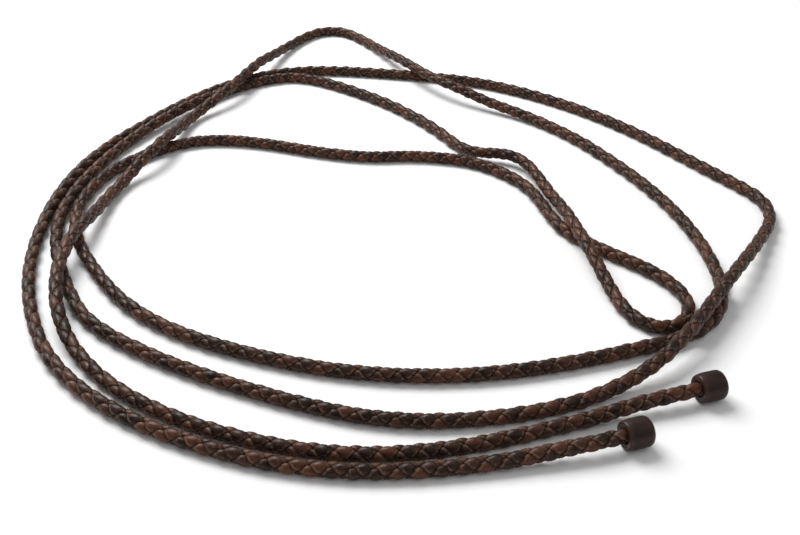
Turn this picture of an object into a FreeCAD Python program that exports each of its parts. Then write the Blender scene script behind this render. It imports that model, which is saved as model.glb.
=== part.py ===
import FreeCAD, Part
import Sketcher
import math
import os

# A plaited leather skipping rope lying in two loose double turns, with a stopper cap on each end.
# Lengths are millimetres. +Z is up, the rope lies on the plane z = 0, and the origin is under the
# middle of the coil. "a" is the end whose cap lies nearest the front, "b" is the other end.

DOC = FreeCAD.newDocument("jump_rope")
Vector = FreeCAD.Vector

# ---------------------------------------------------------------- driving dimensions

DIMENSIONS = [
    ("rope_diameter", "4.8", "outside of the four-thong plait"),
    ("cap_diameter", "8.7", "cylindrical band of the stopper cap"),
    ("cap_mouth_diameter", "7.9", "the cap where the rope enters"),
    ("cap_length", "8.0", "mouth to outer end"),
    ("cap_shoulder_length", "1.8", "cone between the mouth and the band"),
    ("cap_end_round", "1.4", "rounding of the outer edge"),
    ("cap_lip_round", "0.6", "rounding of the lip around the mouth"),
    ("cap_dish_diameter", "6.5", "inner edge of the lip"),
    ("cap_dish_depth", "0.3", "the face around the rope is dished this deep"),
    ("cap_bore_diameter", "5.9", "blind hole for the bound rope end"),
    ("cap_bore_depth", "6.0", "from the mouth to the bottom of the hole"),
    ("rope_seat_depth", "5.8", "from the mouth to the rope's own end"),
    ("whipping_start", "0.2", "first thread turn, inside the mouth"),
    ("whipping_length", "4.6", "thread binding on the rope end"),
    ("glue_line", "0.05", "glue on each side of the binding"),
]

sheet = DOC.addObject("Spreadsheet::Sheet", "dimensions")
for row, (alias, value, meaning) in enumerate(DIMENSIONS, start=1):
    sheet.set(f"A{row}", alias)
    sheet.set(f"B{row}", value)
    sheet.set(f"C{row}", meaning)
    sheet.setAlias(f"B{row}", alias)
DOC.recompute()

# ---------------------------------------------------------------- route of the rope

# Points of the rope's centreline from end a to end b. A stretch on the floor has z = 2.4, half the
# rope's diameter; a stretch that passes over another one rises to z = 7.7 or so in a long low hump;
# both ends rise to z = 4.35, the middle height of the caps.
ROUTE = [
    # end a, then the outermost run along the front and up the left side
    (61.7, -158.1, 4.35), (51, -161.8, 4.35), (39.5, -164.5, 3.7), (27.5, -167.3, 2.7), (13, -170, 2.4),
    (-7, -172, 2.4), (-26, -171, 2.4), (-45, -166.5, 2.4), (-64, -158.5, 2.4), (-82, -148, 2.4),
    (-98, -134.5, 2.4), (-111, -118, 2.4), (-120, -99, 2.4), (-127, -79, 2.4), (-131.5, -57, 2.4),
    (-133.5, -35, 2.4), (-133.5, -13, 2.4), (-130.5, 9, 2.4), (-124, 30, 2.4), (-115, 48, 2.4),
    (-105.5, 66, 2.4), (-95.5, 82, 2.4), (-83, 97, 2.4), (-68, 109, 2.4), (-50, 115, 2.4),
    # outer run along the back, out to the corner at the right
    (-30, 114.5, 2.4), (-10, 111, 2.4), (9, 107, 2.4), (26, 102.5, 2.4), (41, 95.5, 2.4),
    (55, 86, 2.4), (70, 73.5, 2.4), (85, 57.5, 2.4), (98, 40, 2.4), (109, 22.5, 2.4),
    (119, 5.5, 2.4), (127, -7, 2.4), (131.5, -15.5, 2.4), (133.5, -25, 2.4), (131.5, -35.5, 2.7),
    # down the right side, over the inner run twice
    (126.5, -46, 3.5), (120, -57.5, 4.9), (113, -69.5, 6.6), (105.5, -81.5, 7.7), (98, -93, 7.7),
    (91, -104, 7.7), (83.5, -115, 7.7), (75, -124.8, 6.0), (65, -132.5, 3.6), (52.5, -140, 2.4),
    # second run along the front and up the left side, beside the outermost one
    (38.5, -146, 2.4), (22, -150, 2.4), (4, -151.5, 2.4), (-14, -149.5, 2.4), (-32, -143.5, 2.4),
    (-50, -135.5, 2.4), (-67, -127, 2.4), (-83, -117, 2.4), (-96, -107, 2.4), (-105, -97, 2.4),
    (-111, -86, 2.4), (-116.5, -74.5, 2.4), (-121.5, -62, 2.4), (-125.8, -48, 2.4),
    (-128.4, -33.5, 2.4), (-128.6, -20, 2.4), (-127.5, -8, 2.4), (-125.2, 5, 2.4), (-121.8, 19, 2.4),
    (-117, 32.5, 2.7), (-112, 43, 3.2), (-106.4, 54, 3.5), (-100.4, 64.5, 3.7), (-94.2, 74, 3.5),
    (-88, 82.8, 3.0), (-80.6, 91.4, 2.6), (-73.2, 98, 2.4), (-65, 103.4, 2.4), (-55, 106.8, 2.4),
    (-43.5, 103, 2.4),
    # slantwise through the middle
    (-32, 95, 2.4), (-20, 85, 2.4), (-9, 74, 2.4), (0, 63, 2.4), (7.5, 52.5, 2.4),
    (13.5, 42.5, 2.4), (18, 33.5, 2.4),
    # a jog against the other middle run, then over it and into the doubled bight
    (21.6, 26.5, 2.7), (26.3, 21.2, 3.3), (32.2, 18.8, 3.8), (38, 17.6, 4.2), (43, 14, 4.4),
    (46.9, 8, 4.2), (49.6, 0, 3.8), (51.5, -9, 3.8), (53, -18.5, 4.6), (54.4, -27.5, 6),
    (55.8, -36.5, 7.3), (57.5, -46, 7.7), (59.5, -57.5, 7.7), (62, -69, 5.9), (64.5, -79.5, 3.6),
    (66.5, -88.5, 2.4), (68.5, -96, 2.4), (71.5, -101.5, 2.4), (76, -105, 2.4), (81, -105, 2.4),
    (85.3, -102, 2.4), (88, -97, 2.4), (89.2, -90.5, 2.4), (88, -83, 2.4), (84, -75, 2.4),
    (77.5, -67, 2.4), (69.5, -59.5, 2.4), (61.5, -51.5, 2.4), (55, -42.5, 2.4), (51.7, -32.5, 2.4),
    (49.4, -22, 2.4), (46.7, -11.8, 2.4), (42.5, -3, 2.4), (36.5, 4.3, 2.4), (30, 10.5, 2.4),
    (22, 15.2, 2.4), (12.5, 17.8, 2.4),
    # to the left under the top run, down, and back along the innermost front run
    (0, 19.5, 2.4), (-14, 18, 2.4), (-29, 20.5, 2.4), (-44, 25.5, 2.4), (-58, 31, 2.4),
    (-72, 34.5, 2.4), (-85.5, 34.8, 2.4), (-96, 30.5, 2.4), (-104, 23.5, 2.4), (-111.5, 15.5, 2.4),
    (-117.6, 6, 2.4), (-121.4, -5, 2.4), (-123.3, -17, 2.4), (-123.2, -29, 2.4), (-120.8, -41, 2.4),
    (-116.5, -52.5, 2.4), (-110.8, -63.5, 2.4), (-104.2, -74.5, 2.4), (-96.5, -86, 2.4), (-86.5, -97, 2.4),
    (-74.5, -106.5, 2.4), (-60, -114.5, 2.4), (-43.5, -121.5, 2.4), (-26, -127, 2.4),
    (-8, -130, 2.4), (10, -130.5, 2.4), (28, -128.5, 2.4), (45, -124.5, 2.4), (59, -120, 2.4),
    (70, -116, 2.4), (80.5, -112, 2.4), (90, -106.5, 2.4), (97.5, -97.5, 2.4), (101.5, -86, 2.4),
    # inner run along the back, over the outer one and round the far arch
    (103, -74, 2.4), (103, -62, 2.4), (101.5, -46, 2.4), (98, -28, 2.4), (92, -9, 2.4),
    (84, 10, 2.4), (73, 32, 2.4), (60.5, 50, 2.4), (48, 62.5, 3.0), (37, 70, 4.2), (27, 77, 6.3),
    (17.5, 85, 7.7), (9, 95.5, 7.7), (1.5, 108, 7.7), (-5, 122, 6.4), (-11.5, 136.5, 4.2),
    (-18, 150.5, 2.6), (-25, 162, 2.4), (-32, 170, 2.4), (-39.5, 172.5, 2.4), (-47, 169.5, 2.4),
    (-53, 162, 2.4), (-58, 152, 2.6), (-62.5, 140, 3.6), (-66.2, 127, 5.5), (-70.5, 114, 7.2),
    # the top run, down the left side over every other run
    (-74, 101, 7.7), (-78.3, 85.4, 7.7), (-83.1, 76.2, 6.6), (-88, 68.8, 4.6), (-92.3, 61.8, 3.3),
    (-95.7, 52.6, 3), (-97.5, 42.4, 4), (-98, 31.5, 7), (-99.6, 23.8, 7.8), (-101.8, 15.4, 7.9),
    (-104.8, 8.7, 6.9), (-108.1, 2.3, 4.5), (-110.7, -4.8, 3), (-113, -13.9, 2.9), (-114.2, -24.6, 3.8),
    (-115, -36.3, 5.4), (-115.7, -45.6, 7), (-116.9, -52.5, 7.7), (-117.4, -64, 7.7),
    (-116.6, -77, 7.7), (-114.2, -89.5, 7.7), (-110.8, -101, 6.3), (-105.5, -112, 3.8),
    (-98, -122.5, 2.4), (-89, -133, 2.4),
    # last run along the front to end b
    (-77, -143, 2.4), (-63, -151.5, 2.4), (-47, -158.5, 2.4), (-30, -163.5, 2.4),
    (-12, -165.5, 2.4), (6, -163.7, 2.4), (22, -159.7, 2.4), (37, -154.6, 2.4), (50.5, -149.7, 2.6),
    (63, -145, 3.6), (75, -141.4, 4.35), (86.4, -137.4, 4.35),
]

ARC_SHARE = 0.45    # share of the shorter run that an arc takes at each end


def rounded_path(points):
    """A wire of straight runs joined by tangent arcs, and the arcs' radii."""
    edges = []
    radii = []
    start = points[0]
    for before, corner, after in zip(points, points[1:], points[2:]):
        run_in = corner - before
        run_out = after - corner
        reach = ARC_SHARE * min(run_in.Length, run_out.Length)
        into = Vector(run_in).normalize()
        out = Vector(run_out).normalize()
        half_turn = into.getAngle(out) / 2
        radius = reach / math.tan(half_turn)
        arc_start = corner - into * reach
        arc_end = corner + out * reach
        inward = (out - into).normalize()
        sagitta = radius * (1 / math.cos(half_turn) - 1)
        arc_middle = corner + inward * sagitta
        edges.append(Part.LineSegment(start, arc_start).toShape())
        edges.append(Part.Arc(arc_start, arc_middle, arc_end).toShape())
        radii.append(radius)
        start = arc_end
    edges.append(Part.LineSegment(start, points[-1]).toShape())
    return Part.Wire(edges), radii


route_points = [Vector(*point) for point in ROUTE]
path, bend_radii = rounded_path(route_points)
rope_radius = float(sheet.rope_diameter) / 2
profile = Part.Wire(Part.Circle(route_points[0], route_points[1] - route_points[0], rope_radius).toShape())
rope = DOC.addObject("Part::Feature", "braided_rope")
rope.Label = "braided_rope"
rope.Shape = path.makePipeShell([profile], True, False)

# ---------------------------------------------------------------- stopper caps and their bindings

ROUND_TOLERANCE = 1e-6


def origin_plane(body, role):
    """The body's own origin plane with this role."""
    return next(item for item in body.Origin.OriginFeatures if item.Role == role)


def ring_edges(shape, radius, height):
    """Names of the circular edges about Z with this radius at this height."""
    names = []
    for number, edge in enumerate(shape.Edges, start=1):
        circle = edge.Curve
        if circle.TypeId != "Part::GeomCircle":
            continue
        same_radius = abs(circle.Radius - radius) < ROUND_TOLERANCE
        if same_radius and abs(circle.Center.z - height) < ROUND_TOLERANCE:
            names.append(f"Edge{number}")
    return names


def closed_profile(sketch, corners):
    """Draws a closed outline in the sketch; each corner is a pair of sheet expressions (x, y)."""
    values = [(sketch_value(x), sketch_value(y)) for x, y in corners]
    count = len(corners)
    for index in range(count):
        start = Vector(*values[index], 0)
        end = Vector(*values[(index + 1) % count], 0)
        sketch.addGeometry(Part.LineSegment(start, end), False)
    for index in range(count):
        sketch.addConstraint(Sketcher.Constraint("Coincident", index, 2, (index + 1) % count, 1))
    for index, (x, y) in enumerate(corners):
        for axis, kind, text in (("x", "DistanceX", x), ("y", "DistanceY", y)):
            if text == "0":
                other_axis = -2 if axis == "x" else -1
                sketch.addConstraint(Sketcher.Constraint("PointOnObject", index, 1, other_axis))
                continue
            value = values[index][0 if axis == "x" else 1]
            number = sketch.addConstraint(Sketcher.Constraint(kind, -1, 1, index, 1, value))
            name = f"corner_{index}_{axis}"
            sketch.renameConstraint(number, name)
            sketch.setExpression(f"Constraints.{name}", text)


def sketch_value(text):
    """The present value of a sheet expression."""
    return float(sheet.evalExpression(text.replace("dimensions.", "")))


def stopper_cap(name):
    """A turned cup: dished mouth with a lip, shoulder cone, cylindrical band, rounded end, blind bore."""
    body = DOC.addObject("PartDesign::Body", name)
    body.Label = name
    sketch = body.newObject("Sketcher::SketchObject", f"{name}_outline")
    sketch.AttachmentSupport = [(origin_plane(body, "XZ_Plane"), "")]
    sketch.MapMode = "FlatFace"
    closed_profile(sketch, [
        ("dimensions.cap_bore_diameter / 2", "dimensions.cap_dish_depth"),
        ("dimensions.cap_dish_diameter / 2", "0"),
        ("dimensions.cap_mouth_diameter / 2", "0"),
        ("dimensions.cap_diameter / 2", "dimensions.cap_shoulder_length"),
        ("dimensions.cap_diameter / 2", "dimensions.cap_length"),
        ("0", "dimensions.cap_length"),
        ("0", "dimensions.cap_bore_depth"),
        ("dimensions.cap_bore_diameter / 2", "dimensions.cap_bore_depth"),
    ])
    cup = body.newObject("PartDesign::Revolution", f"{name}_cup")
    cup.Profile = sketch
    cup.ReferenceAxis = (sketch, ["V_Axis"])
    cup.Angle = 360
    sketch.Visibility = False
    DOC.recompute()
    end_round = body.newObject("PartDesign::Fillet", f"{name}_end_round")
    end_round.Base = (cup, ring_edges(cup.Shape, float(sheet.cap_diameter) / 2, float(sheet.cap_length)))
    end_round.setExpression("Radius", "dimensions.cap_end_round")
    DOC.recompute()
    lip_round = body.newObject("PartDesign::Fillet", f"{name}_lip_round")
    lip_edges = ring_edges(end_round.Shape, float(sheet.cap_mouth_diameter) / 2, 0)
    lip_round.Base = (end_round, lip_edges)
    lip_round.setExpression("Radius", "dimensions.cap_lip_round")
    DOC.recompute()
    return body


def whipping(name):
    """A sleeve of thread turns bound round the rope end, glued into the cap."""
    outer = DOC.addObject("Part::Cylinder", f"{name}_outside")
    outer.setExpression("Radius", "dimensions.cap_bore_diameter / 2 - dimensions.glue_line")
    outer.setExpression("Height", "dimensions.whipping_length")
    inner = DOC.addObject("Part::Cylinder", f"{name}_inside")
    inner.setExpression("Radius", "dimensions.rope_diameter / 2 + dimensions.glue_line")
    inner.setExpression("Height", "dimensions.whipping_length")
    sleeve = DOC.addObject("Part::Cut", name)
    sleeve.Label = name
    sleeve.Base = outer
    sleeve.Tool = inner
    return sleeve


def place_on_end(piece, end, neighbour, depth):
    """Turns the piece's Z axis along the rope's last run, its origin `depth` before the rope's end."""
    outward = Vector(end - neighbour).normalize()
    spin = FreeCAD.Rotation(Vector(0, 0, 1), outward)
    piece.Placement = FreeCAD.Placement(end - outward * depth, spin)


seat_depth = float(sheet.rope_seat_depth)
whipping_depth = seat_depth - float(sheet.whipping_start)
ROPE_ENDS = {"a": (route_points[0], route_points[1]), "b": (route_points[-1], route_points[-2])}
sub_parts = [rope]
for letter, (end, neighbour) in ROPE_ENDS.items():
    cap = stopper_cap(f"end_cap_{letter}")
    binding = whipping(f"whipping_{letter}")
    place_on_end(cap, end, neighbour, seat_depth)
    place_on_end(binding, end, neighbour, whipping_depth)
    sub_parts += [cap, binding]
DOC.recompute()

# ---------------------------------------------------------------- checks and export

failed = [item.Label for item in DOC.Objects if "Invalid" in item.State or "Error" in item.State]
if failed:
    raise RuntimeError(f"objects that did not build: {failed}")
for piece in sub_parts:
    if piece.Shape.isNull() or not piece.Shape.isValid() or len(piece.Shape.Solids) != 1:
        raise RuntimeError(f"{piece.Label} is not one valid solid")

expected_volume = math.pi * rope_radius ** 2 * path.Length
print(f"rope length {path.Length:.1f}, smallest bend radius {min(bend_radii):.1f}")
print("bend radii:", " ".join(f"{radius:.0f}" for radius in bend_radii))
print(f"rope volume {rope.Shape.Volume:.1f}, section times length {expected_volume:.1f}")

os.makedirs("parts", exist_ok=True)
for piece in sub_parts:
    box = piece.Shape.BoundBox
    print(f"{piece.Label}: volume {piece.Shape.Volume:.1f}, z {box.ZMin:.3f} to {box.ZMax:.3f}")
    piece.Shape.exportStep(f"parts/{piece.Label}.step")
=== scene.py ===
# %% [markdown]
# # A plaited leather skipping rope
#
# Four flat leather thongs are plaited round into a rope about 5 mm thick and 3 m long, and each end
# is bound with thread and glued into a small dark stopper cap. The rope lies on a pale table in loose
# turns, with a doubled bight in the middle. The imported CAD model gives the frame: where the rope lies,
# how thick it is and where the caps sit. This file gives the look, and everything in it is in metres.

import math

import bpy
import numpy as np
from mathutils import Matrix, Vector


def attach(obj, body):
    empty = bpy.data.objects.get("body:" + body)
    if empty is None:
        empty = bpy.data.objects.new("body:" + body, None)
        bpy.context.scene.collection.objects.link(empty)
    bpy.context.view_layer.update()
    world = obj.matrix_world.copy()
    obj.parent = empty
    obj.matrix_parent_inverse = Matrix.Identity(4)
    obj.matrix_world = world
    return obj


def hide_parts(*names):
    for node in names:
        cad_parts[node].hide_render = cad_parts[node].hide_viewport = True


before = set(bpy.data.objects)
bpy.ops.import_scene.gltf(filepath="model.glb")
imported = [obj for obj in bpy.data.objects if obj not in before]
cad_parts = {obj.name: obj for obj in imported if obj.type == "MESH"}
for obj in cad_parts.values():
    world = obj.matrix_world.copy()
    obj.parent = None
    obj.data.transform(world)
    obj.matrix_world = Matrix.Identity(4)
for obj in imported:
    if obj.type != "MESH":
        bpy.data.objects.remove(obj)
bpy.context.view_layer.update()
MM = 0.001

# %% [markdown]
# ## Camera
#
# The camera stands low in front of the coil and looks down at 31 degrees. With a 50 mm lens on a 36 mm
# sensor the near runs look thicker than the far ones, but not by much. The depth of field stays off,
# because the whole coil is sharp.

# %% Camera
CAMERA_PLACE = (-0.0036, -0.3917, 0.1963)
LOOK_DOWN = 31          # degrees below level

camera = bpy.data.objects.new("camera", bpy.data.cameras.new("camera"))
bpy.context.scene.collection.objects.link(camera)
camera.data.lens = 50.0
camera.data.sensor_width = 36.0
camera.data.clip_start = 0.01
camera.location = CAMERA_PLACE
camera.rotation_euler = (math.radians(90 - LOOK_DOWN), 0, 0)
bpy.context.scene.camera = camera
print("camera", tuple(round(x, 3) for x in camera.location))

# %% [markdown]
# ## The rope's route
#
# A rope on a table is one smooth line. It could be drawn freehand with Bezier handles, but a NURBS
# spline of order 3 is easier to keep true: its control points are the corners of the route that the
# CAD tube follows, and the line passes smoothly inside each of them. A run on the table lies half a
# rope's thickness up, and a run that crosses another one rises in a long low hump.

# %% Route of the rope, millimetres
ROPE_DIAMETER = 0.0048
ROPE_RADIUS = ROPE_DIAMETER / 2

ROUTE_MM = [
    # end a, then the outermost run along the front and up the left side
    (61.7, -158.1, 4.35), (51, -161.8, 4.35), (39.5, -164.5, 3.7), (27.5, -167.3, 2.7),
    (13, -170, 2.4), (-7, -172, 2.4), (-26, -171, 2.4), (-45, -166.5, 2.4), (-64, -158.5, 2.4),
    (-82, -148, 2.4),
    (-98, -134.5, 2.4), (-111, -118, 2.4), (-120, -99, 2.4), (-127, -79, 2.4), (-131.5, -57, 2.4),
    (-133.5, -35, 2.4), (-133.5, -13, 2.4), (-130.5, 9, 2.4), (-124, 30, 2.4), (-115, 48, 2.4),
    (-105.5, 66, 2.4), (-95.5, 82, 2.4), (-83, 97, 2.4), (-68, 109, 2.4), (-50, 115, 2.4),
    # outer run along the back, out to the corner at the right
    (-30, 114.5, 2.4), (-10, 111, 2.4), (9, 107, 2.4), (26, 102.5, 2.4), (41, 95.5, 2.4),
    (55, 86, 2.4), (70, 73.5, 2.4), (85, 57.5, 2.4), (98, 40, 2.4), (109, 22.5, 2.4),
    (119, 5.5, 2.4), (127, -7, 2.4), (131.5, -15.5, 2.4), (133.5, -25, 2.4), (131.5, -35.5, 2.7),
    # down the right side, over the inner run twice
    (126.5, -46, 3.5), (120, -57.5, 4.9), (113, -69.5, 6.6), (105.5, -81.5, 7.7), (98, -93, 7.7),
    (91, -104, 7.7), (83.5, -115, 7.7), (75, -124.8, 6.0), (65, -132.5, 3.6), (52.5, -140, 2.4),
    # second run along the front and up the left side, beside the outermost one
    (38.5, -146, 2.4), (22, -150, 2.4), (4, -151.5, 2.4), (-14, -149.5, 2.4), (-32, -143.5, 2.4),
    (-50, -135.5, 2.4), (-67, -127, 2.4), (-83, -117, 2.4), (-96, -107, 2.4), (-105, -97, 2.4),
    (-111, -86, 2.4), (-116.5, -74.5, 2.4), (-121.5, -62, 2.4), (-125.8, -48, 2.4),
    (-128.4, -33.5, 2.4), (-128.6, -20, 2.4), (-127.5, -8, 2.4), (-125.2, 5, 2.4), (-121.8, 19, 2.4),
    (-117, 32.5, 2.7), (-112, 43, 3.2), (-106.4, 54, 3.5), (-100.4, 64.5, 3.7), (-94.2, 74, 3.5),
    (-88, 82.8, 3.0), (-80.6, 91.4, 2.6), (-73.2, 98, 2.4), (-65, 103.4, 2.4), (-55, 106.8, 2.4),
    (-43.5, 103, 2.4),
    # slantwise through the middle
    (-32, 95, 2.4), (-20, 85, 2.4), (-9, 74, 2.4), (0, 63, 2.4), (7.5, 52.5, 2.4),
    (13.5, 42.5, 2.4), (18, 33.5, 2.4),
    # a jog against the other middle run, then over it and into the doubled bight
    (21.6, 26.5, 2.7), (26.3, 21.2, 3.3), (32.2, 18.8, 3.8), (38, 17.6, 4.2), (43, 14, 4.4),
    (46.9, 8, 4.2), (49.6, 0, 3.8), (51.5, -9, 3.8), (53, -18.5, 4.6), (54.4, -27.5, 6),
    (55.8, -36.5, 7.3), (57.5, -46, 7.7), (59.5, -57.5, 7.7), (62, -69, 5.9), (64.5, -79.5, 3.6),
    (66.5, -88.5, 2.4), (68.5, -96, 2.4), (71.5, -101.5, 2.4), (76, -105, 2.4), (81, -105, 2.4),
    (85.3, -102, 2.4), (88, -97, 2.4), (89.2, -90.5, 2.4), (88, -83, 2.4), (84, -75, 2.4),
    (77.5, -67, 2.4), (69.5, -59.5, 2.4), (61.5, -51.5, 2.4), (55, -42.5, 2.4), (51.7, -32.5, 2.4),
    (49.4, -22, 2.4), (46.7, -11.8, 2.4), (42.5, -3, 2.4), (36.5, 4.3, 2.4), (30, 10.5, 2.4),
    (22, 15.2, 2.4), (12.5, 17.8, 2.4),
    # to the left under the top run, down, and back along the innermost front run
    (0, 19.5, 2.4), (-14, 18, 2.4), (-29, 20.5, 2.4), (-44, 25.5, 2.4), (-58, 31, 2.4),
    (-72, 34.5, 2.4), (-85.5, 34.8, 2.4), (-96, 30.5, 2.4), (-104, 23.5, 2.4), (-111.5, 15.5, 2.4),
    (-117.6, 6, 2.4), (-121.4, -5, 2.4), (-123.3, -17, 2.4), (-123.2, -29, 2.4), (-120.8, -41, 2.4),
    (-116.5, -52.5, 2.4), (-110.8, -63.5, 2.4), (-104.2, -74.5, 2.4), (-96.5, -86, 2.4),
    (-86.5, -97, 2.4), (-74.5, -106.5, 2.4), (-60, -114.5, 2.4), (-43.5, -121.5, 2.4), (-26, -127, 2.4),
    (-8, -130, 2.4), (10, -130.5, 2.4), (28, -128.5, 2.4), (45, -124.5, 2.4), (59, -120, 2.4),
    (70, -116, 2.4), (80.5, -112, 2.4), (90, -106.5, 2.4), (97.5, -97.5, 2.4), (101.5, -86, 2.4),
    # inner run along the back, over the outer one and round the far arch
    (103, -74, 2.4), (103, -62, 2.4), (101.5, -46, 2.4), (98, -28, 2.4), (92, -9, 2.4),
    (84, 10, 2.4), (73, 32, 2.4), (60.5, 50, 2.4), (48, 62.5, 3.0), (37, 70, 4.2), (27, 77, 6.3),
    (17.5, 85, 7.7), (9, 95.5, 7.7), (1.5, 108, 7.7), (-5, 122, 6.4), (-11.5, 136.5, 4.2),
    (-18, 150.5, 2.6), (-25, 162, 2.4), (-32, 170, 2.4), (-39.5, 172.5, 2.4), (-47, 169.5, 2.4),
    (-53, 162, 2.4), (-58, 152, 2.6), (-62.5, 140, 3.6), (-66.2, 127, 5.5), (-70.5, 114, 7.2),
    # the top run, down the left side over every other run
    (-74, 101, 7.7), (-78.3, 85.4, 7.7), (-83.1, 76.2, 6.6), (-88, 68.8, 4.6), (-92.3, 61.8, 3.3),
    (-95.7, 52.6, 3), (-97.5, 42.4, 4), (-98, 31.5, 7), (-99.6, 23.8, 7.8), (-101.8, 15.4, 7.9),
    (-104.8, 8.7, 6.9), (-108.1, 2.3, 4.5), (-110.7, -4.8, 3), (-113, -13.9, 2.9),
    (-114.2, -24.6, 3.8), (-115, -36.3, 5.4), (-115.7, -45.6, 7), (-116.9, -52.5, 7.7),
    (-117.4, -64, 7.7),
    (-116.6, -77, 7.7), (-114.2, -89.5, 7.7), (-110.8, -101, 6.3), (-105.5, -112, 3.8),
    (-98, -122.5, 2.4), (-89, -133, 2.4),
    # last run along the front to end b
    (-77, -143, 2.4), (-63, -151.5, 2.4), (-47, -158.5, 2.4), (-30, -163.5, 2.4),
    (-12, -165.5, 2.4), (6, -163.7, 2.4), (22, -159.7, 2.4), (37, -154.6, 2.4), (50.5, -149.7, 2.6),
    (63, -145, 3.6), (75, -141.4, 4.35), (86.4, -137.4, 4.35),
]
LINE_STEPS = 24         # points of the line for each control point


def nurbs_line(name, points, steps):
    """The points of a NURBS spline with these control points in millimetres, steps of them for each."""
    curve = bpy.data.curves.new(name, "CURVE")
    curve.dimensions = "3D"
    spline = curve.splines.new("NURBS")
    spline.points.add(len(points) - 1)
    for knot, (x, y, z) in zip(spline.points, points):
        knot.co = (x * MM, y * MM, z * MM, 1.0)
    spline.order_u = 3
    spline.use_endpoint_u = True
    spline.resolution_u = steps
    drawn = bpy.data.objects.new(name, curve)
    bpy.context.scene.collection.objects.link(drawn)
    mesh = bpy.data.meshes.new_from_object(drawn)
    line = np.empty(len(mesh.vertices) * 3)
    mesh.vertices.foreach_get("co", line)
    bpy.data.objects.remove(drawn)
    bpy.data.curves.remove(curve)
    bpy.data.meshes.remove(mesh)
    return line.reshape(-1, 3)


route = nurbs_line("route", ROUTE_MM, LINE_STEPS)
route_step = np.linalg.norm(np.diff(route, axis=0), axis=1)
route_at = np.concatenate([[0.0], np.cumsum(route_step)])
LENGTH = route_at[-1]
print("route", len(route), "points", round(LENGTH, 4), "m")
print("lowest", round(1000 * route[:, 2].min(), 2), "mm")

# %% [markdown]
# ## A frame that travels along the rope
#
# The thongs wind round the line, so each place on the line needs two directions across it. One lies
# flat and the other points up, and both stay steady because the rope never stands upright.
#
# A real rope also turns about its own line as it is laid round a bend. `lay_turn` is that turn. It is
# worked out here from the direction to the camera, so that two rows of lobes face the camera along the
# whole rope with the seam between them along the middle. The upper row faces it a little more than the
# lower one, and a small random turn is added later. The plait is also drawn out longer where the rope
# runs away to the back. `slant_seen` says how much: it is the sine of the angle between the rope and
# the line to the camera.

# %% Directions across the line
SEAM_FIRST = math.pi / 4    # turn that brings a seam between two rows to the camera
ROW_LEAN = 0.26             # most that the seam then turns down, radians

tangent = np.gradient(route, route_at, axis=0)
tangent /= np.linalg.norm(tangent, axis=1)[:, None]
across = np.cross(tangent, (0.0, 0.0, 1.0))
across /= np.linalg.norm(across, axis=1)[:, None]
upward = np.cross(across, tangent)
towards = np.array(camera.location) - route
towards /= np.linalg.norm(towards, axis=1)[:, None]
facing = np.arctan2((towards * across).sum(axis=1), (towards * upward).sum(axis=1))
lay_turn = SEAM_FIRST + np.unwrap(facing) + ROW_LEAN * np.sin(facing)
slant_seen = np.sqrt(1 - (towards * tangent).sum(axis=1) ** 2)


def on_rope(along, radius, angle):
    """Points round the rope: line(along) + radius (cos angle up + sin angle across). along, radius and
    angle are arrays of one shape, in metres and radians; angle 0 is the rope's top."""
    point = np.stack([np.interp(along, route_at, route[:, i]) for i in range(3)], axis=-1)
    up = np.stack([np.interp(along, route_at, upward[:, i]) for i in range(3)], axis=-1)
    side = np.stack([np.interp(along, route_at, across[:, i]) for i in range(3)], axis=-1)
    ring = np.cos(angle)[..., None] * up + np.sin(angle)[..., None] * side
    return point + radius[..., None] * ring


steepest = math.asin(np.abs(tangent[:, 2]).max())
print("steepest part of the line", round(math.degrees(steepest), 1), "degrees")

# %% [markdown]
# ## Four thongs, plaited round
#
# In a round plait of four, two thongs wind to the right and two to the left, and each goes over one
# and under the next. Modifiers could bend a straight plait onto the line, but then nothing would
# lie quite true in the tight bends. Here each thong is one surface of two parameters. The first,
# `step`, counts crossings along the thong: it is on top at every even count and underneath at every
# odd one. The second goes round its cross-section.
#
# Both sets of thongs share one net of diamonds on the rope's skin. A thong with step p, at q of a
# diamond to the side of its own middle, is at
#
# count = p + q, which is along / (pitch / 4), and angle = start + hand (p - q) 90 degrees.
#
# So where one thong runs along p, the one that it crosses runs along q, and the height that one
# gives up is the height that the other one takes.

# %% Plait: heights of a thong
CROSSINGS = 4           # of a thong in one pitch
PITCH = 0.0114          # one full turn of a thong, where the plait is tightest
STRETCH_LIMIT = 0.58    # below this, `slant_seen` draws the plait out no further
STRETCH_POWER = 0.85    # how strongly the slant draws it out
DIVE = 0.56             # how deep a thong dives under the next one, of the rope's radius
DIVE_POWER = 1.15       # above 1, a lobe stays high longer

local_pitch = PITCH / np.maximum(slant_seen, STRETCH_LIMIT) ** STRETCH_POWER
count_step = route_step * CROSSINGS / ((local_pitch[1:] + local_pitch[:-1]) / 2)
count_at = np.concatenate([[0.0], np.cumsum(count_step)])
print("crossings of a thong", round(count_at[-1]), "pitch, mm", round(1000 * local_pitch.min(), 1),
      "to", round(1000 * local_pitch.max(), 1))


def crest(distance):
    """Height of a thong, of the rope's radius, at a distance in counts from its top crossing:
    1 - DIVE w^DIVE_POWER with w = (1 - cos(pi distance)) / 2, flat over the top, then a quick dive."""
    w = (1 - np.cos(np.pi * np.clip(distance, 0.0, 1.0))) / 2
    return 1 - DIVE * w ** DIVE_POWER


def from_top(steps):
    """Distance in counts to the nearest even count, 0 to 1: |((steps + 1) mod 2) - 1|."""
    return np.abs((steps + 1) % 2 - 1)


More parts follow.
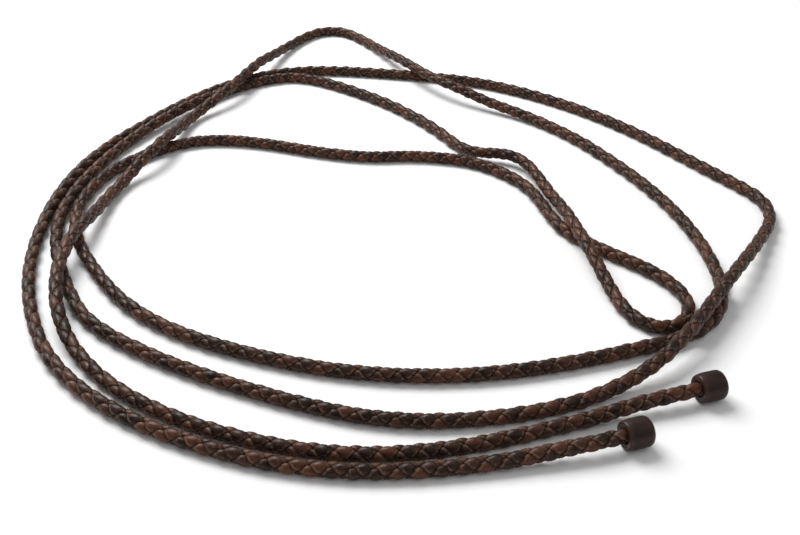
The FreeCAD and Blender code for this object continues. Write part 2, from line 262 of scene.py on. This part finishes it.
def wander(at, spacing, amount, seed):
    """A smooth random wave between -amount and amount: one random value every spacing, joined by half
    cosines. at is never negative."""
    local = np.random.default_rng(seed)
    values = local.uniform(-1.0, 1.0, int(np.max(at) / spacing) + 3)
    cell = np.clip(at / spacing, 0, len(values) - 2)
    index = cell.astype(int)
    blend = (1 - np.cos(np.pi * (cell - index))) / 2
    return amount * (values[index] * (1 - blend) + values[index + 1] * blend)


def by_lobe(count, seed):
    """One random value from 0 to 1 for each lobe; a lobe reaches from one odd count to the next."""
    values = np.random.default_rng(seed).uniform(0.0, 1.0, int(np.max(count) / 2) + 3)
    return values[((count + 1) // 2).astype(int)]


for distance in (0.0, 0.25, 0.5, 0.75, 1.0):
    print("crest at", distance, round(1000 * ROPE_RADIUS * float(crest(np.array(distance))), 2), "mm")

# %% Plait: one thong's cross-section
HALF_WIDTH = 0.54       # of a diamond of the net, where the thong is on top
WAIST = 0.22            # how much narrower it is underneath
FULLNESS = 1.02         # how far a lobe stands out, of the rope's radius, as are the next four
CROWN = 0.20            # how much lower the long edges are than the middle of the back
GAP = 0.02              # air between a thong and the one below
LEAST_BELLY = 0.05      # how near the belly may come to the rope's middle
LEAST_THICKNESS = 0.10
CROWN_POWER = 2.2       # above 2, the middle of the back is flatter than an arch
print("widest thong", round(1000 * ROPE_RADIUS * HALF_WIDTH * math.pi, 1), "mm round the rope")

# %% Plait: how uneven it is
LOBE = 2.0              # counts from one lobe of a thong to its next
UNEVEN = 0.03           # how much lobes differ in width and height
SHIFT_EVERY, SHIFT = 0.16, 0.0015    # the plait slides along the rope, metres
TWIST_EVERY, TWIST = 0.12, 0.17      # it turns about the line, metres and radians
NIP, NIP_REACH = 0.05, 0.012         # it is pressed thinner at its ends, share and metres
OVERRUN = 0.6           # counts that a thong runs past the rope's ends, to be cut off square there
MAP_UNIT = 0.01         # metres of leather to one unit of the UV map
print("lobes stand out up to", round(1000 * ROPE_RADIUS * (FULLNESS + UNEVEN), 2), "mm")

# %% Plait: one thong as a surface
RING_STEPS = np.array([-1.0, -0.72, -0.54, -0.42, -0.28, -0.14, 0.0, 0.14, 0.28, 0.42, 0.54, 0.72])
BACK = np.array([1.0, 0.97, 0.86, 0.62, 0.32, 0.0, -0.32, -0.62, -0.86, -0.97, -1.0])
BELLY = np.array([-0.8, -0.3, 0.3, 0.8])


def thong_surface(hand, start, top_count, seed):
    """The grid of one thong, its UV map and its layers: rings along it, places round its cross-section.
    Side position q = HALF_WIDTH u (1 - WAIST away^2), with away the distance to the top crossing;
    back = crest(away) (FULLNESS + a random share) - CROWN |u|^CROWN_POWER;
    belly = crest(away) + crest(1 - |q|) - 1 + GAP, just above the back of the thong below;
    radius = middle +/- half (1 - u^6)^0.5, so that both long edges are rounded;
    angle = start + hand (p - q) 90 degrees + the rope's own turn."""
    count = count_at[-1]
    turns = np.arange(-1, int(count / 2) + 2)
    step = (2 * turns[:, None] + RING_STEPS[None, :]).ravel() + top_count
    step = step[(step > -OVERRUN) & (step < count + OVERRUN)]
    u = np.concatenate([BACK, BELLY])
    outward = np.concatenate([np.ones(len(BACK)), -np.ones(len(BELLY))])
    p = step[:, None]
    away = from_top(p - top_count)
    width = HALF_WIDTH * (1 - WAIST * away ** 2) * (1 + wander(p + 1, LOBE, UNEVEN, seed))
    q = width * u[None, :]
    crown = CROWN * np.abs(u[None, :]) ** CROWN_POWER
    back = crest(away) * (FULLNESS + wander(p + 1, LOBE, UNEVEN, seed + 1)) - crown
    belly = np.maximum(crest(away) + crest(1 - np.abs(q)) - 1 + GAP, LEAST_BELLY)
    belly = np.minimum(belly, back - LEAST_THICKNESS)
    middle = (back + belly) / 2
    half = (back - belly) / 2
    radius = middle + outward[None, :] * half * np.sqrt(1 - np.abs(u[None, :]) ** 6)
    even = np.interp(p + q, count_at, route_at)
    envelope = np.sin(np.pi * even / LENGTH)
    along = even + envelope * wander(even, SHIFT_EVERY, SHIFT, 5)
    along = np.clip(along, 0.0, LENGTH)
    turn = np.interp(along, route_at, lay_turn) + wander(even, TWIST_EVERY, TWIST, 6)
    angle = start + hand * (p - q) * math.pi / 2 + turn
    ends = np.minimum(even, LENGTH - even)
    radius = radius * (1 - NIP * np.exp(-(ends / NIP_REACH) ** 2))
    grid = on_rope(along, radius * ROPE_RADIUS, angle)
    around = np.arange(1, len(u) + 1) / len(u)
    lay = np.stack(np.broadcast_arrays(p * PITCH / CROSSINGS / MAP_UNIT, around), axis=-1)
    edge = np.broadcast_to(np.abs(u[None, :]) ** 3, radius.shape)
    deep = np.broadcast_to(away, radius.shape)
    lobe = np.broadcast_to(by_lobe(p - top_count + 2, seed + 2), radius.shape)
    return grid, lay, {"edge": edge, "deep": deep, "lobe": lobe}


def tube_mesh(name, grid, lay, layers):
    """A closed tube from a grid of rings: place j of ring i is joined to place j + 1 and to ring i + 1,
    and the last place to the first, with a fan of triangles to the middle of both ends. lay is its UV
    map, in which the last place's faces get 1 added so that they don't run back over the whole map.
    layers holds a number for every point under a name."""
    rings, places = grid.shape[:2]
    ring = np.arange(rings - 1)[:, None] * places
    here = np.arange(places)[None, :]
    onward = (here + 1) % places
    nearer, further = ring, ring + places
    quads = [nearer + here, further + here, further + onward, nearer + onward]
    quads = np.stack(quads, axis=-1).reshape(-1, 4)
    first, last = rings * places, rings * places + 1
    end = (rings - 1) * places
    near = np.stack([np.full(places, first), here[0], onward[0]], axis=-1)
    far = np.stack([np.full(places, last), end + onward[0], end + here[0]], axis=-1)
    points = np.concatenate([grid.reshape(-1, 3), grid[0].mean(0)[None], grid[-1].mean(0)[None]])
    faces = quads.tolist() + near.tolist() + far.tolist()
    mesh = bpy.data.meshes.new(name)
    mesh.from_pydata(points.tolist(), [], faces)
    mesh.polygons.foreach_set("use_smooth", np.ones(len(faces), dtype=bool))
    flat = np.concatenate([lay.reshape(-1, 2), lay[0].mean(0)[None], lay[-1].mean(0)[None]])
    corner = np.empty(len(mesh.loops), dtype=int)
    mesh.loops.foreach_get("vertex_index", corner)
    around = flat[corner]
    seam = np.zeros(len(corner), dtype=bool)
    seam[: len(quads) * 4] = np.tile(np.repeat(here[0] == places - 1, 4), rings - 1)
    wrapped = seam & (around[:, 1] < 0.5)
    around[wrapped, 1] += 1.0
    mesh.uv_layers.new(name="lay").data.foreach_set("uv", around.ravel())
    for layer, values in layers.items():
        full = np.concatenate([values.ravel(), [values[0].mean()], [values[-1].mean()]])
        mesh.attributes.new(layer, "FLOAT", "POINT").data.foreach_set("value", full)
    mesh.update()
    piece = bpy.data.objects.new(name, mesh)
    bpy.context.scene.collection.objects.link(piece)
    return piece


# %% Make the four thongs
THONGS = [
    # name, hand, start angle, a count at which it is on top, the first of its three seeds
    ("thong_1", 1, 0.0, 0, 21),
    ("thong_2", 1, math.pi, 0, 31),
    ("thong_3", -1, 0.0, 1, 41),
    ("thong_4", -1, math.pi, 1, 51),
]

thongs = []
for name, hand, start, top_count, seed in THONGS:
    thong = tube_mesh(name, *thong_surface(hand, start, top_count, seed))
    thongs.append(thong)
    triangles = sum(len(face.vertices) - 2 for face in thong.data.polygons)
    lowest = min(vertex.co.z for vertex in thong.data.vertices)
    print(name, triangles, "triangles, lowest", round(1000 * lowest, 3), "mm")

# %% [markdown]
# ## Thread that binds the rope's ends
#
# A cut plait springs open, so each end is bound with a few tight turns of waxed thread before the cap
# goes on, and the cap hides the binding. A ring for each turn would be simpler, but a real binding is
# one thread, so here it is one round tube carried along a helix.

# %% Where the caps sit
CAP_SEAT = 5.8 * MM     # from the cap's mouth to the end of the rope
END_A = Vector(ROUTE_MM[0]) * MM
END_B = Vector(ROUTE_MM[-1]) * MM
OUT_A = (Vector(ROUTE_MM[0]) - Vector(ROUTE_MM[1])).normalized()
OUT_B = (Vector(ROUTE_MM[-1]) - Vector(ROUTE_MM[-2])).normalized()
MOUTH_A = END_A - CAP_SEAT * OUT_A
MOUTH_B = END_B - CAP_SEAT * OUT_B
print("mouths, mm", [tuple(round(1000 * x, 1) for x in mouth) for mouth in (MOUTH_A, MOUTH_B)])


def round_axis(mouth, out, depth, radius, angle):
    """Points round a cap's axis: mouth + depth out + radius (cos angle up + sin angle side)."""
    out = np.array(out)
    side = np.cross(out, (0.0, 0.0, 1.0))
    side /= np.linalg.norm(side)
    up = np.cross(side, out)
    ring = np.cos(angle)[..., None] * up + np.sin(angle)[..., None] * side
    return np.array(mouth) + depth[..., None] * out + radius[..., None] * ring


# %% Thread binding
THREAD_RADIUS = 0.2 * MM
THREAD_TURNS = 10
THREAD_START = 1.25 * MM                            # depth of the first turn in the cap
THREAD_LEAD = 2.02 * THREAD_RADIUS                  # from one turn to the next
THREAD_HELIX = 0.95 * ROPE_RADIUS + THREAD_RADIUS   # it presses into the rope by a twentieth
TURN_STEPS, ROUND_STEPS = 36, 10                    # points round a turn, and round the thread


def thread_surface(mouth, out):
    """A tube of radius a along a helix of radius R, with the turn and v, the angle round the thread,
    as parameters: depth = start + lead turn + a sin v, radius = R + a cos v, angle = 2 pi turn."""
    turn = np.linspace(0.0, THREAD_TURNS, THREAD_TURNS * TURN_STEPS + 1)[:, None]
    v = np.linspace(0.0, 2 * np.pi, ROUND_STEPS, endpoint=False)[None, :]
    depth = THREAD_START + THREAD_LEAD * turn + THREAD_RADIUS * np.sin(v)
    radius = THREAD_HELIX + THREAD_RADIUS * np.cos(v) + 0 * turn
    angle = 2 * np.pi * turn + 0 * v
    unrolled = turn * 2 * np.pi * THREAD_HELIX / MAP_UNIT
    lay = np.stack(np.broadcast_arrays(unrolled, v / (2 * np.pi)), axis=-1)
    return round_axis(mouth, out, depth, radius, angle), lay


threads = []
for name, mouth, out in (("thread_a", MOUTH_A, OUT_A), ("thread_b", MOUTH_B, OUT_B)):
    grid, lay = thread_surface(mouth, out)
    threads.append(tube_mesh(name, grid, lay, {}))
    wound = 2 * math.pi * THREAD_HELIX * THREAD_TURNS
    print(name, "turns", THREAD_TURNS, "length", round(1000 * wound), "mm")

# %% [markdown]
# ## Stopper caps
#
# Each cap is a short cup: a dished face with a hole that is close round the rope, a soft lip, a cone
# that widens to a straight band, and an outer end with a big soft rounding. It could be a bevelled
# cylinder, but as a surface of revolution it takes any outline. Its profile is written down as
# straight stretches and rounded corners, from the bottom of the bore, out over the lip, to the middle
# of the outer end. A very small wobble keeps it from looking like a machine drawing.

# %% Cap profile
CORNER_POINTS = 7
PROFILE_STEP = 0.45     # longest stretch between two points of the profile, millimetres


def corner_round(before, corner, after, size):
    """A quadratic curve that rounds a corner: (1 - t)^2 a + 2 t (1 - t) corner + t^2 b, where a and b
    are at a distance of size from the corner, towards the corners before and after it."""
    before, corner, after = (np.array(point, float) for point in (before, corner, after))
    a = corner + size * (before - corner) / np.linalg.norm(before - corner)
    b = corner + size * (after - corner) / np.linalg.norm(after - corner)
    t = np.linspace(0.0, 1.0, CORNER_POINTS)[:, None]
    return (1 - t) ** 2 * a + 2 * t * (1 - t) * corner + t ** 2 * b


CAP_CORNERS = [
    # radius, depth from the mouth, rounding, all in millimetres
    (0.3, 6.0, 0.0), (2.95, 6.0, 0.3), (2.95, 0.95, 0.15), (2.35, 0.8, 0.15), (2.35, 0.25, 0.15),
    (3.15, 0.18, 0.2), (3.95, -0.02, 0.62),
    (4.35, 1.8, 1.2), (4.35, 8.0, 1.9), (0.3, 8.03, 0.0),
]


def cap_profile():
    """The rounded corners in a row, with points added every PROFILE_STEP; gives the points and how far
    along the profile each lies."""
    corners = [np.array(c[:2]) for c in CAP_CORNERS]
    parts = [corners[0][None]]
    for before, (radius, depth, size), after in zip(corners, CAP_CORNERS[1:-1], corners[2:]):
        parts.append(corner_round(before, (radius, depth), after, size))
    parts.append(corners[-1][None])
    line = np.concatenate(parts)
    at = np.concatenate([[0.0], np.cumsum(np.linalg.norm(np.diff(line, axis=0), axis=1))])
    even = np.union1d(at, np.arange(0.0, at[-1], PROFILE_STEP))
    return np.stack([np.interp(even, at, line[:, i]) for i in range(2)], axis=-1), even


profile, profile_at = cap_profile()
print("cap profile", len(profile), "points", round(profile_at[-1], 1), "mm long")

# %% Make the caps
CAP_PLACES = 96
OVAL, RIPPLE = 0.004, 0.0025            # shares of the radius
LIP_WAVE, LIP_REACH = 0.05, 1.2         # millimetres, how high and how deep
# the two bands are polished smoother, and the finish also paints them lighter as a painted highlight
RUBBED_AND_HIGHLIGHT = ((0.4, 0.7), (7.4, 0.6))       # depth and half width of the two polished bands, millimetres
OUTSIDE = 3.3                           # only what is further out than this is polished, millimetres


def cap_surface(mouth, out, seed):
    """Radius and depth from the profile, turned round the axis by the angle a. With s the seed, radius
    is also times 1 + OVAL sin(2 a + s) + RIPPLE sin(5 a + 3 s), and depth gets LIP_WAVE sin(3 a + s)
    times the bell exp(-(depth / LIP_REACH)^2). The layer is a bell over each polished band, which the
    finish makes smoother and also paints lighter as a painted highlight."""
    a = np.linspace(0.0, 2 * np.pi, CAP_PLACES, endpoint=False)[None, :]
    radius = profile[:, :1] * MM
    depth = profile[:, 1:] * MM
    wobble = 1 + OVAL * np.sin(2 * a + seed) + RIPPLE * np.sin(5 * a + 3 * seed)
    lip = np.exp(-(profile[:, 1:] / LIP_REACH) ** 2) * LIP_WAVE * MM * np.sin(3 * a + seed)
    lay = np.stack(np.broadcast_arrays(profile_at[:, None] / (MAP_UNIT / MM), a / (2 * np.pi)), axis=-1)
    rubbed_and_highlight = sum(np.exp(-((profile[:, 1:] - middle) / reach) ** 2) for middle, reach in RUBBED_AND_HIGHLIGHT)
    rubbed_and_highlight = np.broadcast_to(rubbed_and_highlight * (profile[:, :1] > OUTSIDE), (len(profile), CAP_PLACES))
    grid = round_axis(mouth, out, depth + lip, radius * wobble, a + 0 * depth)
    return grid, lay, {"rubbed_and_highlight": rubbed_and_highlight}


caps = []
for name, mouth, out, seed in (("cap_a", MOUTH_A, OUT_A, 0.7), ("cap_b", MOUTH_B, OUT_B, 2.9)):
    caps.append(tube_mesh(name, *cap_surface(mouth, out, seed)))
    print(name, len(caps[-1].data.polygons), "faces")

# %% [markdown]
# ## Faces that point outwards
#
# Whether a grid's faces point out or in depends on which way its two parameters run. The volume that
# a closed mesh holds is a sixth of the sum of a . (b x c) over its triangles, and it comes out below
# zero where the mesh is inside out. So it is measured, and such a mesh is turned.

# %% Every face outward
for piece in thongs + threads + caps:
    mesh = piece.data
    place = np.empty(len(mesh.vertices) * 3)
    mesh.vertices.foreach_get("co", place)
    place = place.reshape(-1, 3) - np.array(mesh.vertices[0].co)
    mesh.calc_loop_triangles()
    triangle = np.empty(len(mesh.loop_triangles) * 3, dtype=int)
    mesh.loop_triangles.foreach_get("vertices", triangle)
    a, b, c = (place[triangle.reshape(-1, 3)[:, i]] for i in range(3))
    volume = float(np.einsum("ij,ij->i", a, np.cross(b, c)).sum() / 6)
    if volume < 0:
        mesh.flip_normals()
    print(piece.name, "volume", round(abs(volume) * 1e9, 1), "mm3", "turned" if volume < 0 else "")

# %% [markdown]
# ## Writing a finish as sums
#
# A material is a tree of nodes. Wired by hand it is long to read, so `Signal` holds one socket and
# lets +, - and * on it add the Math nodes. Any other node comes from `Signal.add`, which sets the
# node's own settings first and then its sockets.

# %% Shader helper
class Signal:
    """One socket of a material's node tree; sums of signals and numbers add Math nodes."""

    def __init__(self, tree, socket=None):
        self.tree = tree
        self.socket = socket

    def add(self, kind, settings=None, sockets=None, output=0):
        """A new node: its settings, then values or signals for its sockets; gives one output."""
        node = self.tree.nodes.new(kind)
        for setting, value in (settings or {}).items():
            setattr(node, setting, value)
        for name, value in (sockets or {}).items():
            if isinstance(value, Signal):
                self.tree.links.new(value.socket, node.inputs[name])
            else:
                node.inputs[name].default_value = value
        return Signal(self.tree, node.outputs[output])

    def maths(self, operation, first, second):
        """A Math node on two signals or numbers."""
        return self.add("ShaderNodeMath", {"operation": operation}, {0: first, 1: second})

    def __add__(self, other):
        return self.maths("ADD", self, other)

    def __radd__(self, other):
        return self.maths("ADD", other, self)

    def __sub__(self, other):
        return self.maths("SUBTRACT", self, other)

    def __rsub__(self, other):
        return self.maths("SUBTRACT", other, self)

    def __mul__(self, other):
        return self.maths("MULTIPLY", self, other)

    def __rmul__(self, other):
        return self.maths("MULTIPLY", other, self)


def start_finish(name):
    """A new material with an empty tree, and a signal to add nodes with."""
    material = bpy.data.materials.new(name)
    material.use_nodes = True
    material.node_tree.nodes.clear()
    return material, Signal(material.node_tree)


def end_finish(tree, sockets):
    """The Principled shader with these sockets, wired to the material's output."""
    shader = tree.add("ShaderNodeBsdfPrincipled", sockets=sockets)
    output = tree.tree.nodes.new("ShaderNodeOutputMaterial")
    tree.tree.links.new(shader.socket, output.inputs["Surface"])


def spread(signal, low, high, to_low=0.0, to_high=1.0):
    """Stretches a signal from low..high to to_low..to_high, and stops it there."""
    return signal.add("ShaderNodeMapRange", {"clamp": True},
                      {0: signal, 1: low, 2: high, 3: to_low, 4: to_high})


def blend(tree, factor, first, second):
    """A colour between two colours."""
    return tree.add("ShaderNodeMix", {"data_type": "RGBA"}, {0: factor, 6: first, 7: second}, output=2)


def mottle(tree, where, scale, detail=3.0, rough=0.55, stretch=None):
    """Noise 0 to 1 with about scale blots to one unit of the coordinates, which stretch multiplies
    first, axis by axis. Object coordinates are in metres."""
    if stretch:
        where = tree.add("ShaderNodeMapping", None, {"Vector": where, "Scale": stretch})
    return tree.add("ShaderNodeTexNoise", {"noise_dimensions": "3D"},
                    {"Vector": where, "Scale": scale, "Detail": detail, "Roughness": rough})


print("finish helpers ready")

# %% [markdown]
# ## Waxed leather
#
# The thongs are dark brown leather with a thin coat of wax. Every lobe of the plait has its own shade,
# between black-brown and a worn red-brown, and in the grain the colour breaks into small paler
# flecks. The leather is a little lighter beside the long cut edges, where it rubs. Painted shade
# darkens the edges themselves and the stretch that dives under the next thong. A picture of leather
# could be wrapped on, but noise has no seams and no fixed size. Grain and creases are too fine to
# model and are bumps.

# %% Leather of the thongs
leather, tree = start_finish("waxed_leather")
place = tree.add("ShaderNodeTexCoord", output=3)
lay = tree.add("ShaderNodeUVMap", {"uv_map": "lay"})
edge = tree.add("ShaderNodeAttribute", {"attribute_name": "edge"}, output=2)
deep = tree.add("ShaderNodeAttribute", {"attribute_name": "deep"}, output=2)
lobe = tree.add("ShaderNodeAttribute", {"attribute_name": "lobe"}, output=2)
region = mottle(tree, place, 60.0, 1.0, 0.4)
patch = mottle(tree, place, 620.0, 3.0, 0.6)
fleck = mottle(tree, place, 2600.0, 3.0, 0.7)
crease = mottle(tree, lay, 22.0, 3.0, 0.6, (1.0, 0.32, 1.0))
fibre = mottle(tree, lay, 60.0, 2.0, 0.6, (0.25, 0.6, 1.0))
rim = spread(edge, 0.16, 0.40) * spread(edge, 0.66, 0.50)
edge_shade = spread(edge, 0.60, 0.92)

DARK_BROWN = (0.0085, 0.0034, 0.0019, 1.0)
MID_BROWN = (0.036, 0.0138, 0.0068, 1.0)
RED_BROWN = (0.098, 0.030, 0.0130, 1.0)
PALE_FLECK = (0.200, 0.098, 0.060, 1.0)
WORN_EDGE = (0.240, 0.125, 0.078, 1.0)
CREASE_SHADE = (0.0030, 0.0016, 0.0012, 1.0)

shade = blend(tree, spread(0.3 * lobe + 0.7 * patch, 0.26, 0.58), DARK_BROWN, MID_BROWN)
worn = spread(0.3 * lobe + 0.3 * region + 0.4 * patch, 0.46, 0.66, 0.0, 0.6)
shade = blend(tree, worn, shade, RED_BROWN)
flecked = spread(fleck, 0.50, 0.70, 0.0, 0.55) * spread(patch + 0.3 * lobe, 0.45, 0.75)
shade = blend(tree, flecked, shade, PALE_FLECK)
shade = blend(tree, rim * spread(crease, 0.40, 0.62, 0.0, 0.6), shade, WORN_EDGE)
# painted shade: the long edges of each thong and the stretch that dives under the next thong are
# darkened towards near-black
shade = blend(tree, 0.6 * edge_shade, shade, CREASE_SHADE)
shade = blend(tree, spread(deep, 0.34, 0.58, 0.0, 0.95), shade, CREASE_SHADE)
rough = spread(patch, 0.3, 0.7, 0.30, 0.46) + 0.15 * deep + spread(fleck, 0.4, 0.7, 0.0, 0.10)
relief = 0.5 * fleck + 0.9 * crease + 0.25 * fibre
bump = tree.add("ShaderNodeBump", None, {"Strength": 0.75, "Distance": 0.00018, "Height": relief})
end_finish(tree, {
    "Base Color": shade, "Roughness": rough, "Normal": bump,
    "Coat Weight": 0.16 * spread(deep, 0.45, 0.2), "Coat Roughness": 0.22, "IOR": 1.45,
    "Specular IOR Level": 0.15,
})
for thong in thongs:
    thong.data.materials.append(leather)
print("leather nodes", len(leather.node_tree.nodes))

# %% [markdown]
# ## Caps and thread
#
# The caps are moulded in a very dark brown, smooth but not glossy. The lip and the outer edge are
# polished by handling and shine a little more, and they also get a lighter red-brown as a painted
# highlight. A faint mottling runs through the colour.
# The thread is waxed and twisted, which shows as slanting ridges along it. Ridges that fine could be
# modelled as strands, but a bump costs no faces, and a wave in the colour paints shade into the
# grooves between the ridges.

# %% Cap finish
cap_finish, tree = start_finish("cap_moulding")
place = tree.add("ShaderNodeTexCoord", output=3)
cloud = mottle(tree, place, 260.0, 3.0, 0.55)
grain = mottle(tree, place, 3400.0, 2.0, 0.6)
scuff = mottle(tree, place, 900.0, 4.0, 0.7)
rubbed_and_highlight = tree.add("ShaderNodeAttribute", {"attribute_name": "rubbed_and_highlight"}, output=2)

DARK_MOULDING = (0.0140, 0.0058, 0.0044, 1.0)
BROWN_MOULDING = (0.026, 0.0110, 0.0080, 1.0)
SCUFFED = (0.085, 0.052, 0.042, 1.0)
POLISH_AND_PAINTED_HIGHLIGHT = (0.070, 0.030, 0.021, 1.0)

shade = blend(tree, spread(cloud, 0.35, 0.7), DARK_MOULDING, BROWN_MOULDING)
shade = blend(tree, spread(scuff, 0.62, 0.85, 0.0, 0.35), shade, SCUFFED)
# painted highlight on top of the real polish: the bands get a lighter red-brown here, and a lower
# roughness below
shade = blend(tree, rubbed_and_highlight * spread(scuff, 0.3, 0.7, 0.2, 0.6), shade, POLISH_AND_PAINTED_HIGHLIGHT)
rough = spread(cloud, 0.3, 0.7, 0.36, 0.46) + spread(scuff, 0.4, 0.8, 0.0, 0.12) - 0.12 * rubbed_and_highlight
relief = grain + 0.6 * scuff
bump = tree.add("ShaderNodeBump", None, {"Strength": 0.35, "Distance": 0.00006, "Height": relief})
end_finish(tree, {
    "Base Color": shade, "Roughness": rough, "Normal": bump, "IOR": 1.45, "Specular IOR Level": 0.26,
})
for cap in caps:
    cap.data.materials.append(cap_finish)
print("cap nodes", len(cap_finish.node_tree.nodes))

# %% Thread finish
SHADE_BETWEEN_RIDGES = (0.006, 0.004, 0.0035, 1.0)
ON_RIDGES = (0.040, 0.024, 0.018, 1.0)

thread_finish, tree = start_finish("waxed_thread")
lay = tree.add("ShaderNodeUVMap", {"uv_map": "lay"})
slant = tree.add("ShaderNodeMapping", None, {"Vector": lay, "Rotation": (0.0, 0.0, 0.9)})
ply = tree.add("ShaderNodeTexWave", {"bands_direction": "X"},
               {"Vector": slant, "Scale": 6.0, "Distortion": 0.6}, output=1)
# painted shade: the colour follows the ridges and is much darker in the grooves between them
shade = blend(tree, ply, SHADE_BETWEEN_RIDGES, ON_RIDGES)
bump = tree.add("ShaderNodeBump", None, {"Strength": 0.6, "Distance": 0.00008, "Height": ply})
end_finish(tree, {"Base Color": shade, "Roughness": spread(ply, 0.0, 1.0, 0.62, 0.45), "Normal": bump})
for thread in threads:
    thread.data.materials.append(thread_finish)
print("thread nodes", len(thread_finish.node_tree.nodes))

# %% [markdown]
# ## What each piece is to the frame
#
# Every piece rides on the part's one body and stands in for its CAD node, which is hidden. The four
# thongs stand in for the rope, the threads for the bindings and the caps for the caps.

# %% Bodies and nodes
for piece in thongs + threads + caps:
    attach(piece, "root")
for thong in thongs:
    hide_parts("braided_rope")
for piece, node, slot in (
    (caps[0], "end_cap_a", "cap_plastic"), (caps[1], "end_cap_b", "cap_plastic"),
    (threads[0], "whipping_a", "whipping_thread"), (threads[1], "whipping_b", "whipping_thread"),
):
    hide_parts(node)
print("pieces", [piece.name for piece in thongs + threads + caps])

# %% [markdown]
# ## Table and light
#
# A pale matte table, a large soft light from behind on the left, a weak one from the front on the
# right, and a bright even room. Large lights close by give the soft-edged shadow that keeps the rope
# on the table. A single hard light would draw a sharp second rope beside it.

# %% Table
REACH = 4.0             # of the table, to each side
table_corners = [(-REACH, -REACH, 0), (REACH, -REACH, 0), (REACH, REACH, 0), (-REACH, REACH, 0)]
table_mesh = bpy.data.meshes.new("table")
table_mesh.from_pydata(table_corners, [], [(0, 1, 2, 3)])
table = bpy.data.objects.new("table", table_mesh)
bpy.context.scene.collection.objects.link(table)
table_finish, tree = start_finish("table_white")
place = tree.add("ShaderNodeTexCoord", output=3)
soft = mottle(tree, place, 3.0, 2.0, 0.5)
end_finish(tree, {
    "Base Color": blend(tree, soft, (0.90, 0.90, 0.90, 1.0), (0.92, 0.92, 0.92, 1.0)),
    "Roughness": 0.9, "Specular IOR Level": 0.1,
})
table_mesh.materials.append(table_finish)
print("table", 2 * REACH, "m wide")

# %% Lights
AIM = (0.0, -0.02, 0.0)     # what both lights shine at
ROOM = 0.38                 # strength of the even light from all round


def soft_light(name, place, size, watts):
    """A square area light at a place, turned to shine at AIM; size is its side in metres."""
    lamp = bpy.data.lights.new(name, "AREA")
    lamp.size = size
    lamp.energy = watts
    stand = bpy.data.objects.new(name, lamp)
    stand.location = place
    stand.rotation_euler = (Vector(AIM) - Vector(place)).to_track_quat("-Z", "Y").to_euler()
    bpy.context.scene.collection.objects.link(stand)


soft_light("key", (-0.45, 0.50, 0.85), 0.70, 15.0)
soft_light("fill", (0.55, -0.35, 0.75), 0.8, 1.0)
world = bpy.data.worlds.new("room")
world.use_nodes = True
world.node_tree.nodes["Background"].inputs["Color"].default_value = (1.0, 1.0, 1.0, 1.0)
world.node_tree.nodes["Background"].inputs["Strength"].default_value = ROOM
bpy.context.scene.world = world
bpy.context.scene.view_settings.view_transform = "Standard"
